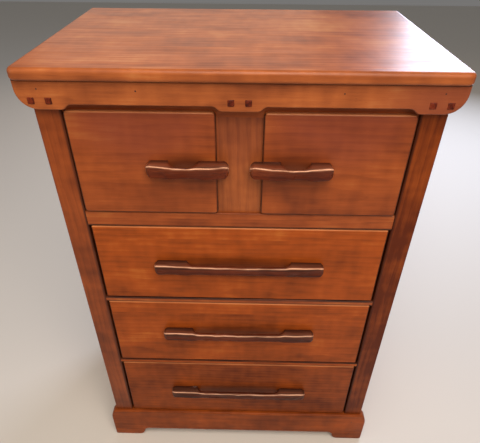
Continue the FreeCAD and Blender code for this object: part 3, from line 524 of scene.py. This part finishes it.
def newGeometryTree(name, sizes):
    tree = bpy.data.node_groups.new(name, "GeometryNodeTree")
    tree.interface.new_socket("Geometry", in_out="INPUT", socket_type="NodeSocketGeometry")
    for label, value in sizes.items():
        kind = "NodeSocketMaterial" if label == "Material" else "NodeSocketFloat"
        socket = tree.interface.new_socket(label, in_out="INPUT", socket_type=kind)
        if label != "Material":
            socket.default_value = value
    tree.interface.new_socket("Geometry", in_out="OUTPUT", socket_type="NodeSocketGeometry")
    return tree, addNode(tree, "NodeGroupInput").outputs


def placeOnPoints(tree, given, points, piece, turn, wobble, seed, smooth=True):
    # one piece on every point, each turned a little at random about its own axis
    spin = addNode(tree, "FunctionNodeRandomValue", {0: (0, 0, -wobble), 1: (0, 0, wobble), "Seed": seed},
                   data_type="FLOAT_VECTOR")
    instances = addNode(tree, "GeometryNodeInstanceOnPoints", {"Points": points, "Instance": piece,
                                                               "Rotation": turn})
    turned = addNode(tree, "GeometryNodeRotateInstances", {"Instances": instances.outputs[0],
                                                           "Rotation": spin.outputs["Value"]})
    real = addNode(tree, "GeometryNodeRealizeInstances", {"Geometry": turned.outputs[0]})
    shaded = addNode(tree, "GeometryNodeSetShadeSmooth", {"Geometry": real.outputs[0],
                                                          "Shade Smooth": smooth})
    painted = addNode(tree, "GeometryNodeSetMaterial", {"Geometry": shaded.outputs[0],
                                                        "Material": given["Material"]})
    addNode(tree, "NodeGroupOutput", {"Geometry": painted.outputs[0]})


def alongFacing(tree):
    facing = addNode(tree, "GeometryNodeInputNamedAttribute", {"Name": "facing"}, data_type="FLOAT_VECTOR")
    turn = addNode(tree, "FunctionNodeAlignRotationToVector", {"Vector": facing.outputs[0]}, axis="Z")
    return turn.outputs[0]


def screwTree(sizes):
    # slotted pan head on its shank, head up, shank down into the wood
    tree, given = newGeometryTree("slottedScrews", sizes)
    half = addNode(tree, "ShaderNodeMath", {0: given["Head"], 1: 0.5}, operation="MULTIPLY").outputs[0]
    rim = addNode(tree, "ShaderNodeMath", {0: half, 1: 0.72}, operation="MULTIPLY").outputs[0]
    head = addNode(tree, "GeometryNodeMeshCone", {"Vertices": 28, "Side Segments": 1, "Radius Bottom": half,
                                                  "Radius Top": rim, "Depth": given["High"]})
    groove = addNode(tree, "ShaderNodeCombineXYZ", {"X": given["Head"], "Y": given["Slot"],
                                                    "Z": given["High"]}).outputs[0]
    bar = addNode(tree, "GeometryNodeMeshCube", {"Size": groove})
    lift = addNode(tree, "ShaderNodeMath", {0: given["High"], 1: 0.55}, operation="MULTIPLY").outputs[0]
    up = addNode(tree, "ShaderNodeCombineXYZ", {"Z": lift}).outputs[0]
    raised = addNode(tree, "GeometryNodeTransform", {"Geometry": bar.outputs[0], "Translation": up})
    slotted = addNode(tree, "GeometryNodeMeshBoolean", {"Mesh 1": head.outputs[0],
                                                        "Mesh 2": raised.outputs[0]}, operation="DIFFERENCE")
    thin = addNode(tree, "ShaderNodeMath", {0: given["Shank"], 1: 0.5}, operation="MULTIPLY").outputs[0]
    shank = addNode(tree, "GeometryNodeMeshCylinder", {"Vertices": 16, "Radius": thin,
                                                       "Depth": given["Long"]})
    drop = addNode(tree, "ShaderNodeMath", {0: given["Long"], 1: -0.5}, operation="MULTIPLY").outputs[0]
    down = addNode(tree, "ShaderNodeCombineXYZ", {"Z": drop}).outputs[0]
    lowered = addNode(tree, "GeometryNodeTransform", {"Geometry": shank.outputs[0], "Translation": down})
    joined = addNode(tree, "GeometryNodeJoinGeometry")
    tree.links.new(slotted.outputs[0], joined.inputs[0])
    tree.links.new(lowered.outputs[0], joined.inputs[0])
    placeOnPoints(tree, given, given["Geometry"], joined.outputs[0], alongFacing(tree), 3.0, 5, False)
    return tree


def pegTree(sizes):
    # square peg, cut by hand: a cube softened by creased subdivision, its face crowned
    tree, given = newGeometryTree("squarePegs", sizes)
    size = addNode(tree, "ShaderNodeCombineXYZ", {"X": given["Wide"], "Y": given["Wide"],
                                                  "Z": given["Long"]}).outputs[0]
    cube = addNode(tree, "GeometryNodeMeshCube", {"Size": size})
    soft = addNode(tree, "GeometryNodeSubdivisionSurface", {"Mesh": cube.outputs[0], "Level": 4,
                                                            "Edge Crease": given["Crease"]})
    back = addNode(tree, "ShaderNodeMath", {0: given["Long"], 1: -0.5}, operation="MULTIPLY").outputs[0]
    sunk = addNode(tree, "ShaderNodeMath", {0: back, 1: given["Proud"]}).outputs[0]
    down = addNode(tree, "ShaderNodeCombineXYZ", {"Z": sunk}).outputs[0]
    seated = addNode(tree, "GeometryNodeTransform", {"Geometry": soft.outputs[0], "Translation": down})
    placeOnPoints(tree, given, given["Geometry"], seated.outputs[0], alongFacing(tree), 0.06, 3)
    return tree


def flatBead(tree, given, axis):
    # a ball pressed flat along one axis, as high as the head stands proud
    half = addNode(tree, "ShaderNodeMath", {0: given["Head"], 1: 0.5}, operation="MULTIPLY").outputs[0]
    bead = addNode(tree, "GeometryNodeMeshUVSphere", {"Segments": 14, "Rings": 8, "Radius": half})
    share = addNode(tree, "ShaderNodeMath", {0: given["High"], 1: half}, operation="DIVIDE").outputs[0]
    flat = addNode(tree, "ShaderNodeCombineXYZ", {"X": 1.0, "Y": 1.0, "Z": 1.0, axis: share}).outputs[0]
    return addNode(tree, "GeometryNodeTransform", {"Geometry": bead.outputs[0], "Scale": flat}).outputs[0]


def headTree(sizes):
    # the wax filler over a nail that is punched in
    tree, given = newGeometryTree("nailHeads", sizes)
    disc = flatBead(tree, given, "Z")
    placeOnPoints(tree, given, given["Geometry"], disc, alongFacing(tree), 0.4, 9)
    return tree


def nailRowTree(sizes):
    # nail heads at even steps along a line of edges, all facing the back
    tree, given = newGeometryTree("nailRow", sizes)
    line = addNode(tree, "GeometryNodeMeshToCurve", {"Mesh": given["Geometry"]})
    steps = addNode(tree, "GeometryNodeCurveToPoints", {"Curve": line.outputs[0], "Length": given["Step"]},
                    mode="LENGTH")
    placeOnPoints(tree, given, steps.outputs[0], flatBead(tree, given, "Y"), (0.0, 0.0, 0.0), 0.0, 4)
    return tree


def setOut(name, tree, places, facing, sizes, body, material, edges=()):
    # places become a mesh of loose points, the tree dresses them, and the result is kept as a plain mesh
    mesh = bpy.data.meshes.new(name)
    mesh.from_pydata(places, list(edges), [])
    attribute = mesh.attributes.new("facing", "FLOAT_VECTOR", "POINT")
    for item in attribute.data:
        item.vector = facing
    marks = meshObject(name + "_marks", mesh)
    modifier = marks.modifiers.new(name, "NODES")
    modifier.node_group = tree
    for item in tree.interface.items_tree:
        if item.in_out == "INPUT" and item.name in sizes:
            modifier[item.identifier] = sizes[item.name]
        if item.in_out == "INPUT" and item.name == "Material":
            modifier[item.identifier] = material
    graph = bpy.context.evaluated_depsgraph_get()
    made = bpy.data.meshes.new_from_object(marks.evaluated_get(graph), depsgraph=graph)
    bpy.data.objects.remove(marks)
    piece = meshObject(name, made)
    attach(piece, body)
    return piece


metals = {
    # zinc-plated steel, tumbled: grey with a faint yellow bloom and rubbed edges
    "zincSteel": {"colors": ("#8d8c86", "#c2c0b6"), "rough": (0.30, 0.48), "metallic": 1.0, "grit": 0.6},
    # plain steel nail heads gone brown-black under the finish
    "dullNailSteel": {"colors": ("#3c3430", "#6d645c"), "rough": (0.45, 0.62), "metallic": 0.9, "grit": 0.8},
    # wax filler stick, darker than the wood round it
    "darkWaxFiller": {"colors": ("#3a170b", "#572714"), "rough": (0.45, 0.60), "metallic": 0.0, "grit": 0.7},
}


def grittyMaterial(name):
    look = metals[name]
    material = bpy.data.materials.new(name)
    material.use_nodes = True
    tree = material.node_tree
    tree.nodes.clear()
    place = addNode(tree, "ShaderNodeTexCoord").outputs["Object"]
    grit = addNode(tree, "ShaderNodeTexNoise", {"Vector": place, "Scale": 1 / (look["grit"] * mm),
                                                "Detail": 2.0})
    color = addNode(tree, "ShaderNodeMix", {"Factor": grit.outputs[0], 6: linearColor(look["colors"][0]),
                                            7: linearColor(look["colors"][1])}, data_type="RGBA")
    low, high = look["rough"]
    rough = addNode(tree, "ShaderNodeMapRange", {"Value": grit.outputs[0], "To Min": low, "To Max": high})
    relief = addNode(tree, "ShaderNodeBump", {"Height": grit.outputs[0], "Strength": 0.2,
                                              "Distance": 0.2 * mm})
    shader = addNode(tree, "ShaderNodeBsdfPrincipled", {
        "Base Color": color.outputs[2], "Normal": relief.outputs[0], "Roughness": rough.outputs[0],
        "Metallic": look["metallic"]})
    addNode(tree, "ShaderNodeOutputMaterial", {"Surface": shader.outputs[0]})
    return material


zincSteel, nailSteel, waxFiller = [grittyMaterial(name) for name in metals]

screwSizes = {"Head": 9 * mm, "High": 2.5 * mm, "Slot": 1.3 * mm, "Shank": 4 * mm, "Long": 30 * mm}
screws = screwTree({**screwSizes, "Material": None})
for drawer in drawerNames:
    low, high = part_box(drawer + "_handle_screws")
    inner, level = high.y - screwSizes["High"], (low.z + high.z) / 2
    places = [(x, inner + screwSizes["High"] / 2, level)
              for x in (low.x + screwSizes["Head"] / 2, high.x - screwSizes["Head"] / 2)]
    piece = setOut(drawer + "_slotted_screws", screws, places, (0, 1, 0), screwSizes, drawer, zincSteel)
    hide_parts(drawer + "_handle_screws")

topScrews = {"count": 3, "fromEnd": 50 * mm}
low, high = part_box("top_screws")
places = []
for cleat in ("left_top_cleat", "right_top_cleat"):
    start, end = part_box(cleat)
    first, last = start.y + topScrews["fromEnd"], end.y - topScrews["fromEnd"]
    for k in range(topScrews["count"]):
        y = first + (last - first) * k / (topScrews["count"] - 1)
        places.append(((start.x + end.x) / 2, y, low.z + screwSizes["High"] / 2))
piece = setOut("top_slotted_screws", screws, places, (0, 0, -1), screwSizes, "case", zincSteel)
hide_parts("top_screws")

pegSizes = {"Wide": 12.2 * mm, "Long": 9 * mm, "Proud": 1.2 * mm, "Crease": 0.45}
pegPlaces = {"fromEnd": 6 * mm, "pairApart": 31 * mm}
low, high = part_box("apron_pegs")
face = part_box("front_apron")[0].y
outer, level = high.x - pegPlaces["fromEnd"], (low.z + high.z) / 2
columns = [-outer, pegPlaces["pairApart"] - outer, -pegPlaces["pairApart"] / 2]
columns += [-x for x in reversed(columns)]
pegWood = woodMaterial("apron_square_pegs", "stainedPegWood", middle("apron_pegs"), "y", (0.4, 0.05, 0.02))
piece = setOut("apron_square_pegs", pegTree({**pegSizes, "Material": None}),
               [(x, face, level) for x in columns], (0, -1, 0), pegSizes, "case", pegWood)
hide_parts("apron_pegs")

fillerSizes = {"Head": 3.2 * mm, "High": 0.35 * mm}
fillerPlaces = {  # millimetres from the middle and up from the board's lower edge, the same on both sides
    "front_apron": ((352, 38), (180, 36)), "base_board": ((351, 96), (353, 30)),
}
fillers = []
for board, spots in fillerPlaces.items():
    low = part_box(board)[0]
    fillers += [(sign * x * mm, low.y, low.z + z * mm) for sign in (-1, 1) for x, z in spots]
heads = headTree({**fillerSizes, "Material": None})
piece = setOut("filled_nail_holes", heads, fillers, (0, -1, 0), fillerSizes, "case", waxFiller)

nailSizes = {"Head": 4.5 * mm, "High": 0.8 * mm, "Step": 92 * mm}
nailsFromEdge = 9 * mm
low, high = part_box("back_panel")
left, right, bottom, top = (low.x + nailsFromEdge, high.x - nailsFromEdge, low.z + nailsFromEdge,
                            high.z - nailsFromEdge)
corners = [(left, high.y, bottom), (right, high.y, bottom), (right, high.y, top), (left, high.y, top)]
loop = [(0, 1), (1, 2), (2, 3), (3, 0)]
piece = setOut("back_panel_nails", nailRowTree({**nailSizes, "Material": None}), corners, (0, 1, 0),
               nailSizes, "case", nailSteel, loop)
print("fixings set out")


# floor, light and camera

floorLook = {"color": "#ddd8d0", "size": 14, "rough": 0.6}
floorMesh = bpy.data.meshes.new("studio_floor")
reach = floorLook["size"] / 2
floorMesh.from_pydata([(-reach, -reach, 0), (reach, -reach, 0), (reach, reach, 0), (-reach, reach, 0)], [],
                      [(0, 1, 2, 3)])
floor = meshObject("studio_floor", floorMesh)
floorPaint = bpy.data.materials.new("paleFloorPaint")
floorPaint.use_nodes = True
floorShader = floorPaint.node_tree.nodes["Principled BSDF"]
floorShader.inputs["Base Color"].default_value = linearColor(floorLook["color"])
floorShader.inputs["Roughness"].default_value = floorLook["rough"]
floorMesh.materials.append(floorPaint)

lamps = {  # place and aim in metres, size of the soft box in metres, watts, colour
    "overheadBox": ((0.2, -1.3, 2.6), (0, -0.2, 0.95), 1.5, 52, "#fff2e2"),
    "windowBox": ((1.87, 2.6, 1.87), (0.3, 0.1, 1.18), 1.3, 80, "#dfe8ff"),
    "backGlow": ((-0.6, 3.2, 2.2), (0, 0.1, 1.18), 2.6, 17, "#ffe6d2"),
    "leftFill": ((-2.2, -1.4, 2.0), (0, 0, 0.8), 1.6, 10, "#fff8f0"),
    "frontGleam": ((1.1, -2.3, 1.9), (0.1, -0.25, 0.95), 1.0, 8, "#ffdccf"),
}
for name, (place, aim, size, watts, tint) in lamps.items():
    lamp = bpy.data.lights.new(name, "AREA")
    lamp.shape, lamp.size, lamp.energy, lamp.color = "SQUARE", size, watts, linearColor(tint)[:3]
    holder = bpy.data.objects.new(name, lamp)
    holder.location = place
    holder.rotation_euler = (Vector(aim) - Vector(place)).to_track_quat("-Z", "Y").to_euler()
    bpy.context.scene.collection.objects.link(holder)

world = bpy.data.worlds.new("studioRoom")
bpy.context.scene.world = world
world.use_nodes = True
world.node_tree.nodes["Background"].inputs["Color"].default_value = linearColor("#f4f1ee")
world.node_tree.nodes["Background"].inputs["Strength"].default_value = 0.2
bpy.context.scene.view_settings.view_transform = "Standard"

eye = {  # metres from the middle, before the posts and above the floor; lens in millimetres; degrees
    "side": 0.0145, "before": 0.7706, "level": 1.4129, "lens": 33.515,
    "yaw": -0.96, "pitch": 36.0, "roll": 0.39,
}
eyePlace = (eye["side"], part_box("left_front_post")[0].y - eye["before"], eye["level"])
yaw, pitch, roll = [math.radians(eye[name]) for name in ("yaw", "pitch", "roll")]
forward = Vector((math.sin(yaw) * math.cos(pitch), math.cos(yaw) * math.cos(pitch), -math.sin(pitch)))
right = forward.cross(Vector((0, 0, 1))).normalized()
up = right.cross(forward)
tiltedRight = right * math.cos(roll) + up * math.sin(roll)
tiltedUp = up * math.cos(roll) - right * math.sin(roll)
lens = bpy.data.cameras.new("studioCamera")
lens.lens, lens.sensor_width, lens.clip_start = eye["lens"], 36, 0.05
camera = bpy.data.objects.new("studioCamera", lens)
turn = Matrix((tiltedRight, tiltedUp, -forward)).transposed()
camera.matrix_world = Matrix.Translation(eyePlace) @ turn.to_4x4()
bpy.context.scene.collection.objects.link(camera)
bpy.context.scene.camera = camera
print("camera and lights placed")
